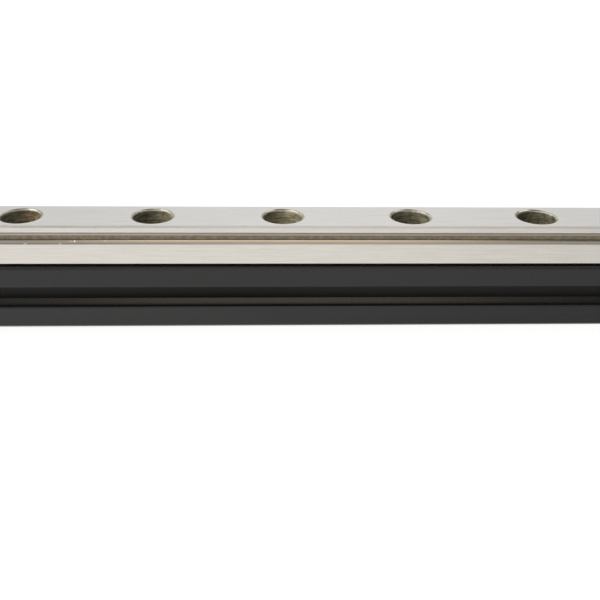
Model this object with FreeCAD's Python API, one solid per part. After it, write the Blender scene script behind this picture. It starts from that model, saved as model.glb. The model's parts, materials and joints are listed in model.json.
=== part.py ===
"""Linear slide rail: a ground steel guide rail that lies on a small black T-slot beam.

X runs along the rail, Y across it and Z up. The origin is the middle of the beam's underside.
All sizes are in millimetres.
"""
import FreeCAD
import Part
import math
import os

# Stock length, the same for the rail and the beam
LENGTH = 200.0

# Guide rail section
RAIL_WIDTH = 9.0
RAIL_HEIGHT = 6.5
TOP_CHAMFER = 0.3
FOOT_CHAMFER = 0.45
END_CHAMFER = 0.2

# Raceway in each side of the rail: two arcs that would meet in a shallow crease
UPPER_LAND = 0.7
RACEWAY_OPENING = 1.95
RACEWAY_DEPTH = 0.45
RACEWAY_ARC_OFFSET = 0.12

# Relief along the bottom of each raceway, where no ball runs; its depth is below the crease
RELIEF_WIDTH = 0.75
RELIEF_DEPTH = 0.1

# Row of counterbored screw holes down the middle of the rail; each mouth is rounded to a quarter of an oval
HOLE_PITCH = 20.0
HOLE_DIAMETER = 3.5
COUNTERBORE_DIAMETER = 6.0
COUNTERBORE_DEPTH = 3.5
HOLE_MOUTH_WIDTH = 0.5
HOLE_MOUTH_DEPTH = 0.4

# T-slot beam section, the same on all four sides. Beside a slot's floor are two flanks, which rise from it by
# FLANK_SLOPE degrees, and the diagonal webs go on from them to the corners
BEAM_SIZE = 10.0
SLOT_OPENING = 3.2
SLOT_FLOOR_WIDTH = 2.75
FLANK_RISE = 0.5
FLANK_SLOPE = 24.0
LIP_THICKNESS = 0.8
CORNER_WIDTH = 2.1
WEB_THICKNESS = 0.6
CORE_WALL = 1.0
BEAM_EDGE_RADIUS = 0.4
LIP_OUTER_RADIUS = 0.3
LIP_INNER_RADIUS = 0.15

# Bore down the middle of the beam, with a small countersink at each end for a tap
BORE_DIAMETER = 2.5
BORE_CHAMFER = 0.25

# How far a cutting shape runs past the face that it opens
OVERRUN = 1.0
# Guards a whole number of pitches against rounding
ROUNDING = 1e-6


def section_point(y, z):
    """A point of a section, which lies in the YZ plane."""
    return FreeCAD.Vector(0, y, z)


def arc_through(start, end, centre):
    """The shorter arc from start to end about centre."""
    bisector = (start - centre) + (end - centre)
    bisector.normalize()
    middle = centre + bisector * (start - centre).Length
    return Part.Arc(start, middle, end).toShape()


def straight(start, end):
    return Part.LineSegment(start, end).toShape()


def face_within(edges):
    """The flat face that a closed run of edges bounds."""
    return Part.Face(Part.Wire(Part.__sortEdges__(edges)))


def drawn_along_rail(edges, length):
    """Closes the edges into a face and draws it out along X, centred on the origin."""
    solid = face_within(edges).extrude(FreeCAD.Vector(length, 0, 0))
    solid.translate(FreeCAD.Vector(-length / 2, 0, 0))
    return solid


def rounded_outline(corners):
    """Edges of a closed outline. Each corner is (y, z, radius), and radius 0 leaves it sharp."""
    ends = []
    edges = []
    for index, (y, z, radius) in enumerate(corners):
        corner = section_point(y, z)
        before = section_point(*corners[index - 1][:2]) - corner
        after = section_point(*corners[(index + 1) % len(corners)][:2]) - corner
        before.normalize()
        after.normalize()
        half_angle = before.getAngle(after) / 2
        setback = radius / math.tan(half_angle)
        arc_start = corner + before * setback
        arc_end = corner + after * setback
        ends.append((arc_start, arc_end))
        if radius > 0:
            inward = before + after
            inward.normalize()
            centre = corner + inward * (radius / math.sin(half_angle))
            edges.append(arc_through(arc_start, arc_end, centre))
    for index, (arc_start, _) in enumerate(ends):
        edges.append(straight(ends[index - 1][1], arc_start))
    return edges


def rail_bar():
    """The rail's plain bar, with its long edges and its ends chamfered."""
    half_width = RAIL_WIDTH / 2
    right_side = [
        (half_width - FOOT_CHAMFER, 0, 0),
        (half_width, FOOT_CHAMFER, 0),
        (half_width, RAIL_HEIGHT - TOP_CHAMFER, 0),
        (half_width - TOP_CHAMFER, RAIL_HEIGHT, 0),
    ]
    left_side = [(-y, z, radius) for y, z, radius in reversed(right_side)]
    bar = drawn_along_rail(rounded_outline(right_side + left_side), LENGTH)
    end_edges = [edge for edge in bar.Edges if edge.BoundBox.XLength < ROUNDING]
    return bar.makeChamfer(END_CHAMFER, end_edges)


def raceway_middle():
    """Height of the middle of a raceway above the rail's underside."""
    return RAIL_HEIGHT - TOP_CHAMFER - UPPER_LAND - RACEWAY_OPENING / 2


def raceway_space(side):
    """The space of the raceway in one side of the rail. side is 1 or -1."""
    face_y = side * RAIL_WIDTH / 2
    outer_y = face_y + side * OVERRUN
    half_opening = RACEWAY_OPENING / 2
    middle = raceway_middle()
    crease = section_point(face_y - side * RACEWAY_DEPTH, middle)
    # Each flank's arc runs from its lip to the crease, so its centre is as far from both
    reach = half_opening ** 2 + 2 * half_opening * RACEWAY_ARC_OFFSET - RACEWAY_DEPTH ** 2
    centre_y = face_y + side * reach / (2 * RACEWAY_DEPTH)
    upper_lip = section_point(face_y, middle + half_opening)
    lower_lip = section_point(face_y, middle - half_opening)
    upper_outer = section_point(outer_y, upper_lip.z)
    lower_outer = section_point(outer_y, lower_lip.z)
    edges = [
        arc_through(upper_lip, crease, section_point(centre_y, middle - RACEWAY_ARC_OFFSET)),
        arc_through(crease, lower_lip, section_point(centre_y, middle + RACEWAY_ARC_OFFSET)),
        straight(lower_lip, lower_outer),
        straight(lower_outer, upper_outer),
        straight(upper_outer, upper_lip),
    ]
    return drawn_along_rail(edges, LENGTH + 2 * OVERRUN)


def relief_space(side):
    """The space of the relief at the bottom of one raceway. side is 1 or -1."""
    face_y = side * RAIL_WIDTH / 2
    bottom_y = face_y - side * (RACEWAY_DEPTH + RELIEF_DEPTH)
    lower = raceway_middle() - RELIEF_WIDTH / 2
    upper = raceway_middle() + RELIEF_WIDTH / 2
    corners = [(face_y, lower, 0), (face_y, upper, 0), (bottom_y, upper, 0), (bottom_y, lower, 0)]
    return drawn_along_rail(rounded_outline(corners), LENGTH + 2 * OVERRUN)


def screw_hole():
    """The space of one screw hole: a turned shape on the Z axis, from below the rail to above it."""
    hole_radius = HOLE_DIAMETER / 2
    seat_radius = COUNTERBORE_DIAMETER / 2
    seat = RAIL_HEIGHT - COUNTERBORE_DEPTH
    mouth_radius = seat_radius + HOLE_MOUTH_WIDTH
    mouth_foot = RAIL_HEIGHT - HOLE_MOUTH_DEPTH
    below_mouth = [
        (0, -OVERRUN),
        (hole_radius, -OVERRUN),
        (hole_radius, seat),
        (seat_radius, seat),
        (seat_radius, mouth_foot),
    ]
    above_mouth = [
        (mouth_radius, RAIL_HEIGHT),
        (mouth_radius, RAIL_HEIGHT + OVERRUN),
        (0, RAIL_HEIGHT + OVERRUN),
        (0, -OVERRUN),
    ]
    below = [FreeCAD.Vector(radius, 0, z) for radius, z in below_mouth]
    above = [FreeCAD.Vector(radius, 0, z) for radius, z in above_mouth]
    oval = Part.Ellipse(below[-1], above[0], FreeCAD.Vector(mouth_radius, 0, mouth_foot))
    mouth = Part.ArcOfEllipse(oval, 0, math.pi / 2).toShape()
    face = face_within(Part.makePolygon(below).Edges + [mouth] + Part.makePolygon(above).Edges)
    return face.revolve(FreeCAD.Vector(0, 0, 0), FreeCAD.Vector(0, 0, 1), 360)


def hole_places():
    """X of each screw hole: one for every whole pitch of the length, centred."""
    count = math.floor(LENGTH / HOLE_PITCH + ROUNDING)
    return [(index - (count - 1) / 2) * HOLE_PITCH for index in range(count)]


def guide_rail():
    rail = rail_bar()
    for side in (1, -1):
        rail = rail.cut(raceway_space(side))
        rail = rail.cut(relief_space(side))
    for x in hole_places():
        hole = screw_hole()
        hole.translate(FreeCAD.Vector(x, 0, 0))
        rail = rail.cut(hole)
    rail.translate(FreeCAD.Vector(0, 0, BEAM_SIZE))
    return rail


def beam_quarter():
    """Corners of a quarter of the beam's section, from the right slot's middle to the upper slot's."""
    half = BEAM_SIZE / 2
    mouth = SLOT_OPENING / 2
    lip = half - LIP_THICKNESS
    cavity = half - CORNER_WIDTH
    core = BORE_DIAMETER / 2 + CORE_WALL
    flank_spread = FLANK_RISE / math.tan(math.radians(FLANK_SLOPE))
    web_shift = WEB_THICKNESS / math.sqrt(2)
    right_slot = [
        (core, SLOT_FLOOR_WIDTH / 2, 0),
        (core + FLANK_RISE, SLOT_FLOOR_WIDTH / 2 + flank_spread, 0),
        (cavity + web_shift, cavity, 0),
        (lip, cavity, 0),
        (lip, mouth, LIP_INNER_RADIUS),
        (half, mouth, LIP_OUTER_RADIUS),
    ]
    upper_slot = [(z, y, radius) for y, z, radius in reversed(right_slot)]
    return right_slot + [(half, half, BEAM_EDGE_RADIUS)] + upper_slot


def quarter_turns(corners):
    """The corners repeated round the section's middle by quarter turns."""
    turned = []
    for _ in range(4):
        turned += corners
        corners = [(-z, y, radius) for y, z, radius in corners]
    return turned


def beam_bore():
    """The space of the beam's bore and of the countersink at each end of it."""
    radius = BORE_DIAMETER / 2
    half_length = LENGTH / 2
    outline = [
        (-half_length - BORE_CHAMFER, 0),
        (-half_length - BORE_CHAMFER, radius + 2 * BORE_CHAMFER),
        (-half_length + BORE_CHAMFER, radius),
        (half_length - BORE_CHAMFER, radius),
        (half_length + BORE_CHAMFER, radius + 2 * BORE_CHAMFER),
        (half_length + BORE_CHAMFER, 0),
    ]
    points = [FreeCAD.Vector(x, r, 0) for x, r in outline + outline[:1]]
    face = Part.Face(Part.makePolygon(points))
    return face.revolve(FreeCAD.Vector(0, 0, 0), FreeCAD.Vector(1, 0, 0), 360)


def support_beam():
    beam = drawn_along_rail(rounded_outline(quarter_turns(beam_quarter())), LENGTH)
    beam = beam.cut(beam_bore())
    beam.translate(FreeCAD.Vector(0, 0, BEAM_SIZE / 2))
    return beam


PIECES = {
    "guide_rail": guide_rail,
    "support_beam": support_beam,
}

os.makedirs("parts", exist_ok=True)
for name, make in PIECES.items():
    shape = make()
    shape.exportStep(f"parts/{name}.step")
    print(name, shape.ShapeType, shape.isValid(), len(shape.Solids), round(shape.Volume, 2), shape.BoundBox)
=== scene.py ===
"""Finishes for a linear slide rail: ground steel rail, black anodised T-slot beam, white studio stage.

X runs along the rail, Y across it and Z up, in metres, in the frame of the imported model.
"""

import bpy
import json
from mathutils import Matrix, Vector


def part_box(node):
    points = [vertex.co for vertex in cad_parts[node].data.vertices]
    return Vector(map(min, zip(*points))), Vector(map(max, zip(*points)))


bl_info = {
    "name": "Linear slide rail finishes",
    "version": (1, 0, 0),
    "blender": (4, 5, 0),
    "location": "3D View > Sidebar > Slide Rail",
    "description": "Surface finishes, stage and camera for a guide rail on a T-slot beam",
    "category": "Material",
}

import json
import math

import bpy
from mathutils import Matrix, Vector

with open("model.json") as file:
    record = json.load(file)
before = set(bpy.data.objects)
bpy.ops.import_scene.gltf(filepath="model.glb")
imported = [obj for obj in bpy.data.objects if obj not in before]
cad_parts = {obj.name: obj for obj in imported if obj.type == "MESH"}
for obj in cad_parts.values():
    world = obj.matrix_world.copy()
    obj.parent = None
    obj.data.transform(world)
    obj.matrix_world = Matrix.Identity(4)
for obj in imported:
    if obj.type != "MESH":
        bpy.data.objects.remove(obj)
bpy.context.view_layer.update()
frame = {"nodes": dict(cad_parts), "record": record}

MM = 0.001
RAIL_HIGH = Vector(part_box("guide_rail")[1])
BEAM_LOW, BEAM_HIGH = (Vector(corner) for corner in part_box("support_beam"))
MOUNTS = {mount["name"]: mount for mount in frame["record"]["mounts"]}
HOLE_PITCH = MOUNTS["rail_holes_1"]["dims"]["spacing_x_mm"] * MM
RACEWAY_MIDDLE = MOUNTS["carriage_way"]["pos_m"][2]
# Width of the soft edge between two finishes on one surface
FEATHER = 0.015 * MM

# Size of one streak along X, Y and Z, in millimetres, for each tool that marks a surface
GRINDING_STREAK = (9, 0.25, 0.25)
GRINDING_SCRATCH = (3, 0.06, 0.06)
BORING_RING = (2.5, 2.5, 0.13)
DIE_LINE = (60, 0.3, 0.3)
SAW_LINE = (5, 6, 0.1)

# Noise cells for each metre: stains in the oil, grit in the anodised skin and small nicks
STAIN_SCALE = 1300.0
GRIT_SCALE = 9000.0
NICK_SCALE = 1700.0

# Height that the Bump nodes give a full mark
BUMP_HEIGHT = 0.01 * MM

# Depths from the rail's side: every raceway is shallower than the first, every relief deeper than the second
RACEWAY_LIMIT = 0.7 * MM
RELIEF_START = 0.36 * MM
# A hole's mouth is polished from the top down to this depth
POLISHED_MOUTH = 0.12 * MM

# The large nick and its soft edge
NICK_RADIUS = 0.13 * MM
NICK_EDGE = 0.04 * MM
# The small nicks are thickest up to the first distance from the large one, and end at the second
NICKS_THICK = 3 * MM
NICKS_END = 16 * MM
# Factors on X, Y and Z that make the cells of the small nicks longer along the rail
NICK_STRETCH = (0.45, 1, 1)
# The burr at the large nick has a facet that is turned to the front and a little to the right
BURR_FACET = (0.12, -0.92, 0.38)

# The rust stain is full inside the first radius and ends at the second
RUST_FULL = 1.2 * MM
RUST_END = 3.2 * MM
# X from the middle of a hole: painted shade on the wall is fullest at the first and painted light at the
# second, so each wall is darker on its left and lighter on its right
WALL_SHADED_AT = -1.8 * MM
WALL_LIT_AT = 2.2 * MM
# From the first X to the second, the holes' walls get darker
DARKER_WALLS_FROM = 0.0
DARKER_WALLS_TO = 35 * MM
# The patch of painted light on one hole's wall: X of its middle from the hole's, and its reach
LIT_PATCH_MIDDLE = 0.7 * MM
LIT_PATCH_REACH = 2.9 * MM
# Along X from that hole: its painted light is full before the first, and ends at the second
HOLE_LIGHT_FULL = 3.5 * MM
HOLE_LIGHT_END = 4.5 * MM

FLOOR_REACH = 3.0
# How near a surface has to stand to the floor for the dark line of contact
CONTACT_REACH = 0.6 * MM

SENSOR_WIDTH = 36.0
CLIP_NEAR = 1 * MM
CLIP_FAR = 100.0

# The sky is drawn by the X, Y and Z of a ray of length 1.
# Colour of the room behind the camera by the ray's Z
ROOM_BY_HEIGHT = (
    (0.0, (0.2, 0.185, 0.16)),
    (0.2, (0.22, 0.2, 0.18)),
    (0.3, (0.31, 0.285, 0.26)),
    (0.45, (0.52, 0.48, 0.435)),
    (0.62, (0.63, 0.59, 0.545)),
    (0.77, (0.54, 0.515, 0.48)),
    (0.9, (0.62, 0.595, 0.56)),
)
# Zones of the room: X where one starts and is full, Z where it starts and is full, and how bright it is
ROOM_LOW_RIGHT = ((0.15, 0.38), (0.5, 0.3), 0.2)
ROOM_LEFT = ((-0.09, -0.2), (0.42, 0.55), 1.22)
ROOM_HIGH_LEFT = ((0.05, -0.22), (0.62, 0.86), 0.5)
# The same for the whole sky
HIGH_RIGHT = ((0.4, 0.65), (0.3, 0.6), 0.25)
# Z where the patches of the roof start to show and are full
UPWARD = (0.3, 0.6)
# Patches of the roof: middle in X and Y, reach in X and Y, and where the edge starts and ends, in reaches
DARK_ROOF = ((0.13, 0.14), (0.28, 0.31), (1.15, 0.8))
SIDE_PANEL = ((0.56, 0.2), (0.22, 0.38), (1.15, 0.85))
SOFT_BOX = ((-0.68, 0.06), (0.34, 0.32), (1.12, 0.85))


class RailFinish(bpy.types.PropertyGroup):
    """Sizes and colours of the ground steel rail's surfaces."""

    steel: bpy.props.FloatVectorProperty(
        name="Ground steel", description="Colour of the ground top and sides",
        subtype="COLOR", size=3, min=0, max=1, default=(0.775, 0.756, 0.732))
    steel_roughness: bpy.props.FloatProperty(
        name="Ground roughness", description="Roughness of the ground top and sides",
        subtype="FACTOR", min=0, max=1, default=0.3)
    track: bpy.props.FloatVectorProperty(
        name="Raceway track", description="Colour of the oiled tracks that the balls run on",
        subtype="COLOR", size=3, min=0, max=1, default=(0.48, 0.455, 0.42))
    track_roughness: bpy.props.FloatProperty(
        name="Track roughness", description="Roughness of the lower tracks that the balls run on",
        subtype="FACTOR", min=0, max=1, default=0.16)
    upper_track_roughness: bpy.props.FloatProperty(
        name="Upper track roughness", description="Roughness of the upper tracks that the balls run on",
        subtype="FACTOR", min=0, max=1, default=0.42)
    raceway_opening: bpy.props.FloatProperty(
        name="Raceway opening", description="Height of a raceway in the side of the rail",
        unit="LENGTH", min=0, default=1.95 * MM)
    # The relief is coloured darker than the tracks along the bottom of each raceway
    relief: bpy.props.FloatVectorProperty(
        name="Relief", description="Colour of the unground relief along the bottom of a raceway",
        subtype="COLOR", size=3, min=0, max=1, default=(0.235, 0.2, 0.147))
    relief_roughness: bpy.props.FloatProperty(
        name="Relief roughness", description="Roughness of the relief along the bottom of a raceway",
        subtype="FACTOR", min=0, max=1, default=0.4)
    relief_width: bpy.props.FloatProperty(
        name="Relief width", description="Height of the relief along the bottom of a raceway",
        unit="LENGTH", min=0, default=0.75 * MM)
    bore: bpy.props.FloatVectorProperty(
        name="Bored steel", description="Colour of the bored walls of the screw holes",
        subtype="COLOR", size=3, min=0, max=1, default=(0.275, 0.26, 0.203))
    bore_roughness: bpy.props.FloatProperty(
        name="Bore roughness", description="Roughness of the bored walls of the screw holes",
        subtype="FACTOR", min=0, max=1, default=0.62)
    bore_metal: bpy.props.FloatProperty(
        name="Bore bareness", description="How bare the bored metal is under its film of oil and stain",
        subtype="FACTOR", min=0, max=1, default=0.2)
    counterbore_radius: bpy.props.FloatProperty(
        name="Counterbore radius", description="Radius of the counterbore of a screw hole",
        unit="LENGTH", min=0, default=3.0 * MM)
    mouth: bpy.props.FloatVectorProperty(
        name="Turned mouth", description="Colour of the rounded mouths of the screw holes",
        subtype="COLOR", size=3, min=0, max=1, default=(0.57, 0.555, 0.47))
    mouth_roughness: bpy.props.FloatProperty(
        name="Mouth roughness", description="Roughness of the polished outer part of a hole's mouth",
        subtype="FACTOR", min=0, max=1, default=0.15)
    mouth_foot_roughness: bpy.props.FloatProperty(
        name="Mouth foot roughness", description="Roughness of the lower part of a hole's mouth",
        subtype="FACTOR", min=0, max=1, default=0.6)
    mouth_width: bpy.props.FloatProperty(
        name="Mouth rounding", description="How far the rounded mouth of a hole reaches out over the top",
        unit="LENGTH", min=0, default=0.5 * MM)
    # Painted light: this screw hole's wall is painted brighter around and right of its middle
    painted_light_hole: bpy.props.FloatProperty(
        name="Clean hole", description="X of the screw hole whose wall was wiped clean",
        subtype="DISTANCE", unit="LENGTH", default=-HOLE_PITCH / 2)
    rust: bpy.props.FloatVectorProperty(
        name="Rust", description="Colour of the rust stain on the wall of one screw hole",
        subtype="COLOR", size=3, min=0, max=1, default=(0.36, 0.265, 0.19))
    rust_place: bpy.props.FloatVectorProperty(
        name="Rust place", description="Middle of the rust stain on the wall of one screw hole",
        subtype="TRANSLATION", unit="LENGTH", size=3, default=(-48.0 * MM, 2.2 * MM, 15.0 * MM))
    nick: bpy.props.FloatVectorProperty(
        name="Nick", description="Colour of the bare steel in the nicks",
        subtype="COLOR", size=3, min=0, max=1, default=(0.95, 0.94, 0.9))
    nick_place: bpy.props.FloatVectorProperty(
        name="Nick place", description="Place of the largest bright nick in the raceways",
        subtype="TRANSLATION", unit="LENGTH", size=3, default=(-41.37 * MM, -4.16 * MM, 13.96 * MM))
    nick_roughness: bpy.props.FloatProperty(
        name="Nick roughness", description="Roughness of the small nicks",
        subtype="FACTOR", min=0, max=1, default=0.6)
    burr_roughness: bpy.props.FloatProperty(
        name="Burr roughness", description="Roughness of the bright facet at the largest nick",
        subtype="FACTOR", min=0, max=1, default=0.25)


class BeamFinish(bpy.types.PropertyGroup):
    """Sizes and colours of the black anodised beam's surfaces."""

    skin: bpy.props.FloatVectorProperty(
        name="Black anodised", description="Colour of the anodised skin",
        subtype="COLOR", size=3, min=0, max=1, default=(0.0095, 0.012, 0.0165))
    skin_roughness: bpy.props.FloatProperty(
        name="Skin roughness", description="Roughness of the anodised skin",
        subtype="FACTOR", min=0, max=1, default=0.27)
    skin_ior: bpy.props.FloatProperty(
        name="Skin IOR", description="Index of refraction of the sealed anodised skin",
        min=1, default=1.52)
    floor_roughness: bpy.props.FloatProperty(
        name="Slot floor roughness", description="Roughness of the slots' floors, which no brush reaches",
        subtype="FACTOR", min=0, max=1, default=0.55)
    # Painted shade: the skin on the slots' floors is darkened
    floor_painted_shade: bpy.props.FloatProperty(
        name="Slot floor tone", description="How light the slots' floors are beside the rest of the skin",
        subtype="FACTOR", min=0, max=1, default=0.6)
    slot_depth: bpy.props.FloatProperty(
        name="Slot depth", description="Depth of a slot from the outside of the beam to the slot's floor",
        unit="LENGTH", min=0, default=2.75 * MM)


class StageSettings(bpy.types.PropertyGroup):
    """Camera, floor and light of the studio stage."""

    camera_place: bpy.props.FloatVectorProperty(
        name="Camera place", description="Where the camera stands",
        subtype="TRANSLATION", unit="LENGTH", size=3,
        default=(-15.65 * MM, -133.98 * MM, 66.57 * MM))
    camera_yaw: bpy.props.FloatProperty(
        name="Camera yaw", description="Turn of the camera about the vertical, from looking along Y",
        subtype="ANGLE", unit="ROTATION", default=math.radians(-3.696))
    camera_pitch: bpy.props.FloatProperty(
        name="Camera pitch", description="How far the camera looks down",
        subtype="ANGLE", unit="ROTATION", default=math.radians(25.663))
    camera_roll: bpy.props.FloatProperty(
        name="Camera roll", description="Turn of the camera about its own line of sight",
        subtype="ANGLE", unit="ROTATION", default=math.radians(1.427))
    lens: bpy.props.FloatProperty(
        name="Lens", description="Focal length on a 36 mm wide sensor",
        unit="CAMERA", min=1, default=55.205)
    floor: bpy.props.FloatVectorProperty(
        name="Floor", description="Colour of the floor",
        subtype="COLOR", size=3, min=0, max=1, default=(0.92, 0.92, 0.92))
    shadow_floor: bpy.props.FloatVectorProperty(
        name="Shadow floor", description="Colour of the lit share of the floor, where it is seen",
        subtype="COLOR", size=3, min=0, max=1, default=(0.25, 0.25, 0.25))
    mirrored_floor: bpy.props.FloatVectorProperty(
        name="Mirrored floor", description="Tint of the floor where the steel mirrors it",
        subtype="COLOR", size=3, min=0, max=1, default=(1.0, 0.975, 0.935))
    lamp: bpy.props.FloatVectorProperty(
        name="Front lamp", description="Colour of the soft lamp behind the camera",
        subtype="COLOR", size=3, min=0, max=2, default=(1.82, 1.57, 1.17))
    roof: bpy.props.FloatVectorProperty(
        name="Dark roof", description="Colour of the dark opening in the roof",
        subtype="COLOR", size=3, min=0, max=1, default=(0.04, 0.04, 0.038))
    panel: bpy.props.FloatVectorProperty(
        name="Side panel", description="Colour of the pale panel at the upper right",
        subtype="COLOR", size=3, min=0, max=2, default=(1.5, 1.46, 1.36))
    soft_box: bpy.props.FloatVectorProperty(
        name="Soft box", description="Colour of the soft box at the upper left",
        subtype="COLOR", size=3, min=0, max=6, default=(3.8, 3.7, 3.2))


def put(tree, kind, inputs=None, **settings):
    """Adds a node. inputs maps a socket's name or number to a value or to the socket that feeds it."""
    node = tree.nodes.new(kind)
    for key, value in settings.items():
        setattr(node, key, value)
    for key, value in (inputs or {}).items():
        if isinstance(value, bpy.types.NodeSocket):
            tree.links.new(value, node.inputs[key])
        else:
            node.inputs[key].default_value = value
    return node


def calc(tree, operation, *values):
    """The output of a Math node on one to three values or sockets."""
    return put(tree, "ShaderNodeMath", dict(enumerate(values)), operation=operation).outputs[0]


def ease(tree, value, low, high, start=0.0, end=1.0):
    """Goes smoothly from start to end as the value goes from low to high."""
    inputs = {"Value": value, "From Min": low, "From Max": high, "To Min": start, "To Max": end}
    return put(tree, "ShaderNodeMapRange", inputs, interpolation_type="SMOOTHSTEP").outputs["Result"]


def vary(tree, noise, start, end):
    """Goes from start to end over the range that a noise mostly stays in."""
    return ease(tree, noise, 0.3, 0.7, start, end)


def under(tree, value, limit, soft=FEATHER):
    """1 where the value is under the limit and 0 over it."""
    return ease(tree, value, limit - soft, limit + soft, 1.0, 0.0)


def over(tree, value, limit, soft=FEATHER):
    """1 where the value is over the limit and 0 under it."""
    return ease(tree, value, limit - soft, limit + soft)


def both(tree, *masks):
    """1 only where all the masks are 1. Factors are multiplied in the same way."""
    result = masks[0]
    for mask in masks[1:]:
        result = calc(tree, "MULTIPLY", result, mask)
    return result


def off(tree, value, middle):
    """How far a value is from a middle, either way."""
    return calc(tree, "ABSOLUTE", calc(tree, "SUBTRACT", value, middle))


def axes(tree, vector):
    """The X, Y and Z of a vector."""
    return put(tree, "ShaderNodeSeparateXYZ", {0: vector}).outputs


def distance(tree, place, point):
    """How far a place is from a point."""
    node = put(tree, "ShaderNodeVectorMath", {0: place, 1: point}, operation="DISTANCE")
    return node.outputs["Value"]


def mix_colour(tree, factor, first, second):
    """A colour that goes from first to second as factor goes from 0 to 1."""
    return put(tree, "ShaderNodeMix", {0: factor, 6: first, 7: second}, data_type="RGBA").outputs[2]


def mix_value(tree, factor, first, second):
    """A value that goes from first to second as factor goes from 0 to 1."""
    return put(tree, "ShaderNodeMix", {0: factor, 2: first, 3: second}).outputs[0]


def mix_normal(tree, factor, first, second):
    """A normal that goes from first to second as factor goes from 0 to 1."""
    return put(tree, "ShaderNodeMix", {0: factor, 4: first, 5: second}, data_type="VECTOR").outputs[1]


def shaded(tree, colour, factor):
    """A colour times a factor."""
    node = put(tree, "ShaderNodeVectorMath", {0: colour, "Scale": factor}, operation="SCALE")
    return node.outputs[0]


def solid(colour):
    """A colour with its alpha."""
    return (*colour, 1.0)


def new_material(name):
    """An empty node material, its Principled shader already wired to the output."""
    material = bpy.data.materials.new(name)
    material.use_nodes = True
    tree = material.node_tree
    tree.nodes.clear()
    shader = put(tree, "ShaderNodeBsdfPrincipled")
    put(tree, "ShaderNodeOutputMaterial", {"Surface": shader.outputs[0]})
    return material, tree, shader


def feed(tree, shader, **sources):
    """Links sockets to the shader. An underscore in a name stands for a space."""
    for name, source in sources.items():
        tree.links.new(source, shader.inputs[name.replace("_", " ")])


def noise_of(tree, place, scale, detail):
    """Noise with the same scale all ways, about 0.5 on average."""
    inputs = {"Vector": place, "Scale": scale, "Detail": detail}
    return put(tree, "ShaderNodeTexNoise", inputs).outputs["Fac"]


def tool_lines_group():
    """Group: streaks such as a grinding wheel, a cutter, a die or a saw leaves.

    Spacing is the size of one streak along X, Y and Z.
    """
    group = bpy.data.node_groups.new("Tool lines", "ShaderNodeTree")
    face = group.interface
    face.new_socket("Vector", in_out="INPUT", socket_type="NodeSocketVector")
    face.new_socket("Spacing", in_out="INPUT", socket_type="NodeSocketVector")
    face.new_socket("Lines", in_out="OUTPUT", socket_type="NodeSocketFloat")
    given = group.nodes.new("NodeGroupInput").outputs
    divided = {0: given["Vector"], 1: given["Spacing"]}
    spot = put(group, "ShaderNodeVectorMath", divided, operation="DIVIDE").outputs[0]
    inputs = {"Vector": spot, "Scale": 1.0, "Detail": 2.0, "Roughness": 0.6}
    noise = put(group, "ShaderNodeTexNoise", inputs)
    put(group, "NodeGroupOutput", {"Lines": noise.outputs["Fac"]})
    return group


def lines_of(tree, place, spacing_mm):
    """Streaks from the shared group, about 0.5 on average."""
    group = bpy.data.node_groups.get("Tool lines") or tool_lines_group()
    node = put(tree, "ShaderNodeGroup", node_tree=group)
    tree.links.new(place, node.inputs["Vector"])
    node.inputs["Spacing"].default_value = [size * MM for size in spacing_mm]
    return node.outputs["Lines"]


def hole_offset(tree, place):
    """How far a place is along X from the middle of the nearest screw hole."""
    along = calc(tree, "FLOORED_MODULO", axes(tree, place)["X"], HOLE_PITCH)
    return calc(tree, "SUBTRACT", along, HOLE_PITCH / 2)


def rail_zones(tree, finish, place):
    """Masks over the rail: raceway tracks, raceway reliefs, hole mouths, hole walls and cut ends."""
    split = axes(tree, place)
    inward = calc(tree, "SUBTRACT", RAIL_HIGH.y, calc(tree, "ABSOLUTE", split["Y"]))
    level = off(tree, split["Z"], RACEWAY_MIDDLE)
    raceway = both(tree, over(tree, inward, 2 * FEATHER), under(tree, inward, RACEWAY_LIMIT),
                   under(tree, level, finish.raceway_opening / 2))
    relief = both(tree, raceway, under(tree, level, finish.relief_width / 2),
                  over(tree, inward, RELIEF_START))
    along = hole_offset(tree, place)
    radius = calc(tree, "SQRT", calc(tree, "ADD", calc(tree, "MULTIPLY", along, along),
                                     calc(tree, "MULTIPLY", split["Y"], split["Y"])))
    sunk = under(tree, split["Z"], RAIL_HIGH.z - FEATHER, FEATHER / 2)
    mouth = both(tree, sunk, under(tree, radius, finish.counterbore_radius + finish.mouth_width))
    wall = both(tree, sunk, under(tree, radius, finish.counterbore_radius + FEATHER))
    ends = over(tree, calc(tree, "ABSOLUTE", split["X"]), RAIL_HIGH.x - 2 * FEATHER)
    return raceway, relief, mouth, wall, ends


def nick_marks(tree, finish, place):
    """Masks of the bright nicks in the raceways: the large one alone, and all of them.

    The small ones lie in the lower tracks, and thin out away from the large one.
    """
    away = distance(tree, place, finish.nick_place)
    large = under(tree, away, NICK_RADIUS, NICK_EDGE)
    lower = under(tree, axes(tree, place)["Z"], RACEWAY_MIDDLE - finish.relief_width / 2)
    stretched = put(tree, "ShaderNodeVectorMath", {0: place, 1: NICK_STRETCH}, operation="MULTIPLY")
    cells = put(tree, "ShaderNodeTexVoronoi", {"Vector": stretched.outputs[0], "Scale": NICK_SCALE}).outputs
    chosen = over(tree, axes(tree, cells["Color"])["X"], 0.55, 0.05)
    thinning = ease(tree, away, NICKS_END, NICKS_THICK, 0, 0.6)
    small = both(tree, under(tree, cells["Distance"], 0.22, 0.1), chosen, lower, thinning)
    return large, calc(tree, "MAXIMUM", large, small)


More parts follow.
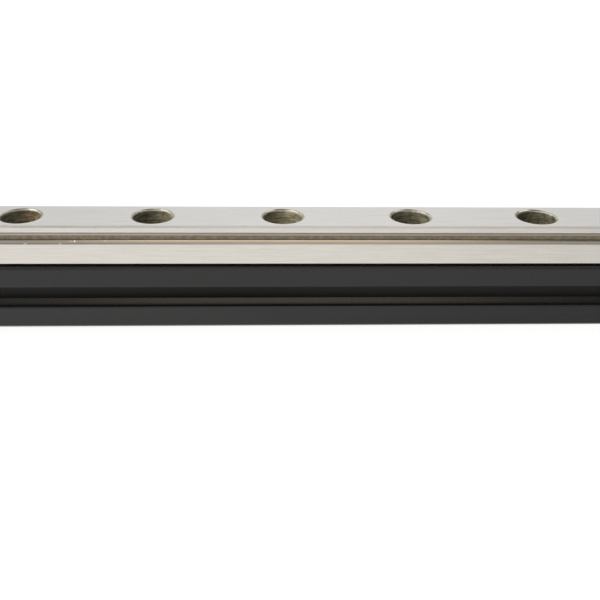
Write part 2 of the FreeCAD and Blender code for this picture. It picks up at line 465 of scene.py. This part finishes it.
def bored_wall(tree, finish, place, stain):
    """Colour of the holes' walls, with rust, the tool rings in them, and painted light and shade: each wall
    darker on its left and lighter on its right, one hole's wall painted brighter, and the walls darker to the
    right along the rail.
    """
    rings = lines_of(tree, place, BORING_RING)
    off_rust = distance(tree, place, finish.rust_place)
    rusty = both(tree, ease(tree, off_rust, RUST_END, RUST_FULL), ease(tree, stain, 0.35, 0.55, 0.6, 1.0))
    steel = mix_colour(tree, rusty, solid(finish.bore), solid(finish.rust))
    x = axes(tree, place)["X"]
    aside = hole_offset(tree, place)
    off_lit_hole = off(tree, x, finish.painted_light_hole)
    off_patch = off(tree, aside, LIT_PATCH_MIDDLE)
    painted_light_patch = both(tree, ease(tree, off_lit_hole, HOLE_LIGHT_END, HOLE_LIGHT_FULL), ease(tree, off_patch, LIT_PATCH_REACH, 0))
    # Painted light and shade on the walls, and the walls darker along the rail to the right
    painted_wall_shading = both(tree, ease(tree, aside, WALL_SHADED_AT, WALL_LIT_AT, 0.62, 1.4),
                ease(tree, x, DARKER_WALLS_FROM, DARKER_WALLS_TO, 1.0, 0.72),
                mix_value(tree, painted_light_patch, 1.0, 1.75))
    shade = both(tree, painted_wall_shading, ease(tree, rings, 0.36, 0.64, 0.5, 1.5), ease(tree, stain, 0.35, 0.6, 0.7, 1.15))
    return shaded(tree, steel, shade), rings


def ground_steel(finish):
    """Ground steel with a lengthwise grain, oiled raceways, reliefs coloured darker along the bottoms of the
    raceways, and bored hole walls.
    """
    material, tree, shader = new_material("Ground steel")
    place = put(tree, "ShaderNodeTexCoord").outputs["Object"]
    raceway, relief, mouth, wall, ends = rail_zones(tree, finish, place)
    height = axes(tree, place)["Z"]
    upper = over(tree, height, RACEWAY_MIDDLE)
    inner = under(tree, height, RAIL_HIGH.z - POLISHED_MOUTH)
    saw = lines_of(tree, place, SAW_LINE)
    streaks = mix_value(tree, ends, lines_of(tree, place, GRINDING_STREAK), saw)
    scratches = mix_value(tree, ends, lines_of(tree, place, GRINDING_SCRATCH), saw)
    stain = noise_of(tree, place, STAIN_SCALE, 3.0)
    burr, nicks = nick_marks(tree, finish, place)
    bored, rings = bored_wall(tree, finish, place, stain)

    ground = shaded(tree, finish.steel, vary(tree, streaks, 0.94, 1.04))
    track = shaded(tree, finish.track, vary(tree, scratches, 0.94, 1.06))
    track = mix_colour(tree, nicks, track, solid(finish.nick))
    dark_relief = shaded(tree, finish.relief, ease(tree, stain, 0.35, 0.65, 0.85, 1.15))
    turned = shaded(tree, finish.mouth, ease(tree, stain, 0.35, 0.65, 0.85, 1.1))
    colour = mix_colour(tree, raceway, ground, track)
    colour = mix_colour(tree, relief, colour, dark_relief)
    colour = mix_colour(tree, mouth, colour, turned)
    colour = mix_colour(tree, wall, colour, bored)

    rough = vary(tree, scratches, finish.steel_roughness - 0.04, finish.steel_roughness + 0.06)
    tracks_rough = mix_value(tree, upper, finish.track_roughness, finish.upper_track_roughness)
    rough = mix_value(tree, raceway, rough, tracks_rough)
    rough = mix_value(tree, both(tree, nicks, raceway), rough, finish.nick_roughness)
    rough = mix_value(tree, burr, rough, finish.burr_roughness)
    rough = mix_value(tree, relief, rough, finish.relief_roughness)
    mouth_rough = mix_value(tree, inner, finish.mouth_roughness, finish.mouth_foot_roughness)
    rough = mix_value(tree, mouth, rough, mouth_rough)
    rough = mix_value(tree, wall, rough, finish.bore_roughness)

    grain = calc(tree, "ADD", calc(tree, "MULTIPLY", streaks, 0.6), calc(tree, "MULTIPLY", scratches, 0.5))
    marks = mix_value(tree, mouth, grain, calc(tree, "MULTIPLY", rings, 3.0))
    bump = put(tree, "ShaderNodeBump", {"Height": marks, "Strength": 0.25, "Distance": BUMP_HEIGHT})
    feed(tree, shader, Base_Color=colour, Roughness=rough,
         Normal=mix_normal(tree, burr, bump.outputs[0], BURR_FACET),
         Metallic=mix_value(tree, wall, 1.0, finish.bore_metal))
    return material


def black_anodised(finish):
    """Black anodised aluminium: a satin skin over the fine lines of the extrusion."""
    material, tree, shader = new_material("Black anodised")
    place = put(tree, "ShaderNodeTexCoord").outputs["Object"]
    split = axes(tree, place)
    ends = over(tree, calc(tree, "ABSOLUTE", split["X"]), BEAM_HIGH.x - 2 * FEATHER)
    middle = (BEAM_LOW.z + BEAM_HIGH.z) / 2
    outward = calc(tree, "MAXIMUM", calc(tree, "ABSOLUTE", split["Y"]), off(tree, split["Z"], middle))
    floors = under(tree, outward, BEAM_HIGH.y - finish.slot_depth + FEATHER)
    die_lines = lines_of(tree, place, DIE_LINE)
    saw = lines_of(tree, place, SAW_LINE)
    grit = noise_of(tree, place, GRIT_SCALE, 2.0)
    skin = shaded(tree, finish.skin, vary(tree, mix_value(tree, ends, die_lines, saw), 0.9, 1.1))
    # Painted shade on the slots' floors
    skin = shaded(tree, skin, mix_value(tree, floors, 1.0, finish.floor_painted_shade))
    rough = vary(tree, grit, finish.skin_roughness - 0.05, finish.skin_roughness + 0.05)
    rough = mix_value(tree, floors, rough, finish.floor_roughness)
    drawn = calc(tree, "ADD", die_lines, calc(tree, "MULTIPLY", grit, 0.4))
    marks = mix_value(tree, ends, drawn, calc(tree, "MULTIPLY", saw, 2.0))
    bump = put(tree, "ShaderNodeBump", {"Height": marks, "Strength": 0.1, "Distance": BUMP_HEIGHT}).outputs[0]
    shader.inputs["IOR"].default_value = finish.skin_ior
    feed(tree, shader, Base_Color=skin, Roughness=rough, Normal=bump)
    return material


def dress(node_name, material):
    """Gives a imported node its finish."""
    frame["nodes"][node_name].material_slots[0].material = material


class SLIDERAIL_OT_finish_rail(bpy.types.Operator):
    """Give the guide rail its ground steel finish"""

    bl_idname = "slide_rail.finish_rail"
    bl_label = "Finish Guide Rail"

    def execute(self, context):
        dress("guide_rail", ground_steel(context.scene.slide_rail_rail))
        return {"FINISHED"}


class SLIDERAIL_OT_finish_beam(bpy.types.Operator):
    """Give the support beam its black anodised finish"""

    bl_idname = "slide_rail.finish_beam"
    bl_label = "Finish Support Beam"

    def execute(self, context):
        dress("support_beam", black_anodised(context.scene.slide_rail_beam))
        return {"FINISHED"}


def camera_matrix(stage):
    """Where the camera stands and how it is turned."""
    right = Vector((math.cos(stage.camera_yaw), math.sin(stage.camera_yaw), 0))
    ahead = Vector((-math.sin(stage.camera_yaw) * math.cos(stage.camera_pitch),
                    math.cos(stage.camera_yaw) * math.cos(stage.camera_pitch),
                    -math.sin(stage.camera_pitch)))
    above = right.cross(ahead)
    rolled_right = right * math.cos(stage.camera_roll) + above * math.sin(stage.camera_roll)
    rolled_up = above * math.cos(stage.camera_roll) - right * math.sin(stage.camera_roll)
    turn = Matrix((rolled_right, rolled_up, -ahead)).transposed()
    return Matrix.Translation(Vector(stage.camera_place)) @ turn.to_4x4()


def set_camera(stage):
    """The camera of the photograph's view."""
    lens = bpy.data.cameras.new("Camera")
    lens.sensor_width = SENSOR_WIDTH
    lens.lens = stage.lens
    lens.clip_start = CLIP_NEAR
    lens.clip_end = CLIP_FAR
    camera = bpy.data.objects.new("Camera", lens)
    bpy.context.scene.collection.objects.link(camera)
    camera.matrix_world = camera_matrix(stage)
    bpy.context.scene.camera = camera


def pale_floor(stage):
    """Pale floor. Seen straight or in a mirror it glows by itself, and only a small share of it is lit.

    So its shadow is faint, but for a narrow line of contact. In mirrors its glow is uneven.
    """
    material, tree, shader = new_material("Pale floor")
    spot = axes(tree, put(tree, "ShaderNodeTexCoord").outputs["Object"])
    path = put(tree, "ShaderNodeLightPath").outputs
    mirrored = calc(tree, "MAXIMUM", path["Is Glossy Ray"], path["Is Transmission Ray"])
    shown = calc(tree, "MAXIMUM", path["Is Camera Ray"], mirrored)
    open_sky = put(tree, "ShaderNodeAmbientOcclusion", {"Distance": CONTACT_REACH}, samples=16).outputs["AO"]
    seen_glow = ease(tree, open_sky, 0.15, 0.6, 0.08, 0.87)
    # Close to the front of the beam it is brighter on the left
    close = ease(tree, spot["Y"], -0.023, -0.011)
    slant = mix_value(tree, close, 1.0, ease(tree, spot["X"], -0.05, 0.05, 1.19, 0.87))
    # It dims to the right, behind the object and far in front of it
    mirrored_glow = both(tree, slant,
                         ease(tree, spot["X"], -0.03, 0.085, 0.787, 0.572),
                         ease(tree, spot["Y"], 0.01, 0.06, 1.0, 0.6),
                         ease(tree, spot["Y"], -0.05, -0.2, 1.0, 0.4))
    glow = calc(tree, "MULTIPLY", shown, mix_value(tree, mirrored, seen_glow, mirrored_glow))
    feed(tree, shader, Emission_Strength=glow,
         Base_Color=mix_colour(tree, shown, solid(stage.floor), solid(stage.shadow_floor)),
         Emission_Color=mix_colour(tree, mirrored, (1, 1, 1, 1), solid(stage.mirrored_floor)))
    shader.inputs["Roughness"].default_value = 0.9
    shader.inputs["Specular IOR Level"].default_value = 0.0
    return material


def lay_floor(stage):
    """A wide pale floor that keeps the object's shadow."""
    mesh = bpy.data.meshes.new("Floor")
    corners = ((-1, -1), (1, -1), (1, 1), (-1, 1))
    mesh.from_pydata([(x * FLOOR_REACH, y * FLOOR_REACH, 0) for x, y in corners], [], [(0, 1, 2, 3)])
    mesh.materials.append(pale_floor(stage))
    floor = bpy.data.objects.new("Floor", mesh)
    bpy.context.scene.collection.objects.link(floor)


def ramp(tree, value, stops):
    """A colour ramp through (position, colour) stops."""
    node = put(tree, "ShaderNodeValToRGB", {0: value})
    elements = node.color_ramp.elements
    for element, (position, colour) in zip(elements, (stops[0], stops[-1])):
        element.position = position
        element.color = solid(colour)
    for position, colour in stops[1:-1]:
        elements.new(position).color = solid(colour)
    return node.outputs[0]


def shade_zone(tree, colour, ray, zone):
    """A colour of the sky, made as bright in a zone as the zone says."""
    x_range, z_range, brightness = zone
    mask = both(tree, ease(tree, ray["X"], *x_range), ease(tree, ray["Z"], *z_range))
    return shaded(tree, colour, mix_value(tree, mask, 1.0, brightness))


def hang_patch(tree, sky, ray, patch, colour):
    """The sky with an oval patch of one colour in its roof."""
    middle, reach, edge = patch
    squares = []
    for axis, centre, half in zip("XY", middle, reach):
        share = calc(tree, "DIVIDE", calc(tree, "SUBTRACT", ray[axis], centre), half)
        squares.append(calc(tree, "MULTIPLY", share, share))
    off_middle = calc(tree, "SQRT", calc(tree, "ADD", *squares))
    mask = both(tree, ease(tree, off_middle, *edge), ease(tree, ray["Z"], *UPWARD))
    return mix_colour(tree, mask, sky, solid(colour))


def tent_wall(tree, ray):
    """Colour of the white tent, brightest behind the object and dimmer to the sides and near the floor."""
    ahead = calc(tree, "MAXIMUM", calc(tree, "ABSOLUTE", ray["Y"]), 0.02)
    sideways = off(tree, calc(tree, "DIVIDE", ray["X"], ahead), 0.1)
    bright = both(tree, ease(tree, sideways, 0.05, 0.32, 0.915, 0.825),
                  ease(tree, sideways, 0.35, 0.9, 1.0, 0.66),
                  ease(tree, ray["Z"], 0.05, 0.38, 0.62, 1.0),
                  ease(tree, ray["X"], 0.35, 0.75, 1.0, 0.7))
    return shaded(tree, (1, 1, 1), bright)


def front_room(tree, stage, ray):
    """Colour of the room that the tent opens to, behind the camera, with its warm soft lamp."""
    room = ramp(tree, ray["Z"], ROOM_BY_HEIGHT)
    for zone in (ROOM_LOW_RIGHT, ROOM_LEFT, ROOM_HIGH_LEFT):
        room = shade_zone(tree, room, ray, zone)
    lamp_band = both(tree, ease(tree, ray["X"], -0.185, -0.125), ease(tree, ray["X"], 0.33, 0.15))
    near_lamp = both(tree, lamp_band, ease(tree, ray["Z"], 0.5, 0.9, 0.22, 0.5))
    room = shaded(tree, room, calc(tree, "ADD", near_lamp, 0.95))
    far_right = ease(tree, ray["X"], 0.42, 0.65, 1.0, 0.35)
    room = shaded(tree, room, far_right)
    lit = both(tree, lamp_band, ease(tree, ray["Z"], 0.1, 0.2), ease(tree, ray["Z"], 0.7, 0.22))
    return mix_colour(tree, lit, room, solid(stage.lamp))


def hang_sky(stage):
    """World light: a white tent, open to a room behind the camera, with three patches in its roof.

    Seen straight it is white.
    """
    world = bpy.data.worlds.new("Light tent")
    world.use_nodes = True
    bpy.context.scene.world = world
    tree = world.node_tree
    tree.nodes.clear()
    ray = axes(tree, put(tree, "ShaderNodeTexCoord").outputs["Generated"])
    front = ease(tree, ray["Y"], -0.05, -0.4)
    sky = mix_colour(tree, front, tent_wall(tree, ray), front_room(tree, stage, ray))
    sky = shade_zone(tree, sky, ray, HIGH_RIGHT)
    sky = hang_patch(tree, sky, ray, DARK_ROOF, stage.roof)
    sky = hang_patch(tree, sky, ray, SIDE_PANEL, stage.panel)
    sky = hang_patch(tree, sky, ray, SOFT_BOX, stage.soft_box)
    direct = put(tree, "ShaderNodeLightPath").outputs["Is Camera Ray"]
    colour = mix_colour(tree, direct, sky, (1, 1, 1, 1))
    background = put(tree, "ShaderNodeBackground", {"Color": colour, "Strength": 1.0})
    put(tree, "ShaderNodeOutputWorld", {"Surface": background.outputs[0]})


class SLIDERAIL_OT_set_stage(bpy.types.Operator):
    """Set the camera, the floor and the light of the studio stage"""

    bl_idname = "slide_rail.set_stage"
    bl_label = "Set Stage"

    def execute(self, context):
        stage = context.scene.slide_rail_stage
        set_camera(stage)
        lay_floor(stage)
        hang_sky(stage)
        context.scene.view_settings.view_transform = "Standard"
        return {"FINISHED"}


class SLIDERAIL_PT_panel(bpy.types.Panel):
    """Finishes and stage of the slide rail"""

    bl_idname = "SLIDERAIL_PT_panel"
    bl_label = "Linear Slide Rail"
    bl_space_type = "VIEW_3D"
    bl_region_type = "UI"
    bl_category = "Slide Rail"

    def draw(self, context):
        for operator in OPERATORS:
            self.layout.operator(operator.bl_idname)
        for name in SETTINGS:
            group = getattr(context.scene, name)
            box = self.layout.box()
            for key in group.__annotations__:
                box.prop(group, key)


SETTINGS = {
    "slide_rail_rail": RailFinish,
    "slide_rail_beam": BeamFinish,
    "slide_rail_stage": StageSettings,
}
OPERATORS = (SLIDERAIL_OT_set_stage, SLIDERAIL_OT_finish_rail, SLIDERAIL_OT_finish_beam)
CLASSES = (*SETTINGS.values(), *OPERATORS, SLIDERAIL_PT_panel)


def register():
    for cls in CLASSES:
        bpy.utils.register_class(cls)
    for name, group in SETTINGS.items():
        setattr(bpy.types.Scene, name, bpy.props.PointerProperty(type=group))


def unregister():
    for name in SETTINGS:
        delattr(bpy.types.Scene, name)
    for cls in reversed(CLASSES):
        bpy.utils.unregister_class(cls)


def main():
    register()
    bpy.ops.slide_rail.set_stage()
    bpy.ops.slide_rail.finish_rail()
    bpy.ops.slide_rail.finish_beam()


if __name__ == "__main__":
    main()
